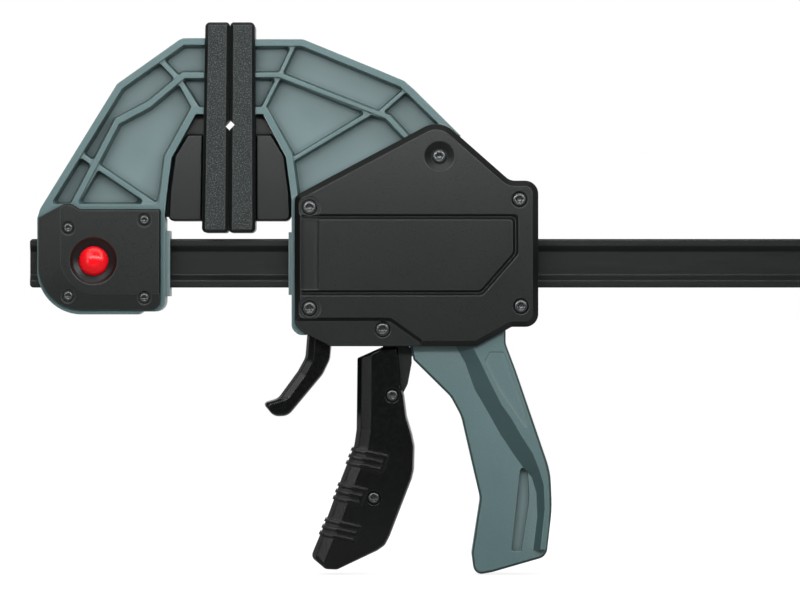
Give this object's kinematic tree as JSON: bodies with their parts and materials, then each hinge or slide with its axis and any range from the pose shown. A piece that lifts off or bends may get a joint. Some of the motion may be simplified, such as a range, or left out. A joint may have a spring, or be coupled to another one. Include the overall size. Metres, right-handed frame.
{
  "type": "quick release bar clamp",
  "caption": "One handed trigger bar clamp with a fixed jaw, a sliding jaw with pistol handle, a release lever, soft pads and a push button that frees the fixed jaw.",
  "frame": {"origin": "on the bar's axis, in the plane where the closed pads meet, at mid width", "axes": "+X along the bar, the way the moving jaw opens; +Y to the rear of the clamp, away from the release button; +Z from the handle up to the pads"},
  "size_m": [0.5503, 0.039, 0.2484],
  "materials": {
    "glass_filled_nylon": "moulded, fine satin texture",
    "black_nylon": "moulded, satin",
    "gloss_black_nylon": "moulded, polished",
    "pad_elastomer": "moulded, spark eroded texture",
    "bar_steel": "rolled, blackened",
    "plate_steel": "stamped and hardened",
    "screw_steel": "black oxide",
    "spring_steel": "drawn wire",
    "red_plastic": "moulded, polished"
  },
  "bodies": {
    "fixed_jaw": {"bar": "bar_steel", "bar_stop_pin": "screw_steel", "fixed_jaw_body": "glass_filled_nylon", "fixed_front_plate": "black_nylon", "fixed_rear_plate": "black_nylon", "fixed_plate_screws": "screw_steel", "fixed_pad": "pad_elastomer", "fixed_pad_carrier": "black_nylon", "lock_spring": "spring_steel"},
    "lock_button": {"release_button": "red_plastic", "lock_pin": "screw_steel"},
    "moving_jaw": {"moving_jaw_body": "glass_filled_nylon", "front_cover": "black_nylon", "rear_cover": "black_nylon", "cover_screws": "screw_steel", "trigger_pivot_sleeve": "plate_steel", "trigger_pivot_screws": "screw_steel", "moving_pad": "pad_elastomer", "moving_pad_carrier": "black_nylon", "drive_spring": "spring_steel", "brake_spring": "spring_steel"},
    "trigger": {"trigger_core": "black_nylon", "trigger_front_shell": "gloss_black_nylon", "trigger_rear_shell": "gloss_black_nylon", "trigger_screws": "screw_steel"},
    "drive_pack": {"drive_plate_1": "plate_steel", "drive_plate_2": "plate_steel", "drive_plate_3": "plate_steel"},
    "release": {"brake_plate": "plate_steel", "release_lever": "gloss_black_nylon"}
  },
  "joints": [
    {"name": "jaw_slide", "type": "slide", "parent": "fixed_jaw", "child": "moving_jaw", "axis": [1, 0, 0], "range_m": [0, 0.305]},
    {"name": "trigger_squeeze", "type": "hinge", "parent": "moving_jaw", "child": "trigger", "pos_m": [0.069, 0, -0.0298], "axis": [0, -1, 0], "range_deg": [0, 21], "stiffness_Nm_per_rad": 0.6, "springref_deg": -20.05},
    {"name": "drive_feed", "type": "slide", "parent": "moving_jaw", "child": "drive_pack", "axis": [1, 0, 0], "range_m": [0, 0.0038], "deforming": ["drive_spring"]},
    {"name": "release_pull", "type": "hinge", "parent": "moving_jaw", "child": "release", "pos_m": [0.043, 0, 0.019], "axis": [0, -1, 0], "range_deg": [0, 6], "stiffness_Nm_per_rad": 1, "springref_deg": -17.19, "deforming": ["brake_spring"]},
    {"name": "button_press", "type": "slide", "parent": "fixed_jaw", "child": "lock_button", "axis": [0, 1, 0], "range_m": [0, 0.005], "stiffness_N_per_m": 800, "springref_m": -0.002, "deforming": ["lock_spring"]}
  ],
  "couplings": [
    {"joint": "drive_feed", "follows": "trigger_squeeze", "m_per_rad": 0.0102}
  ]
}
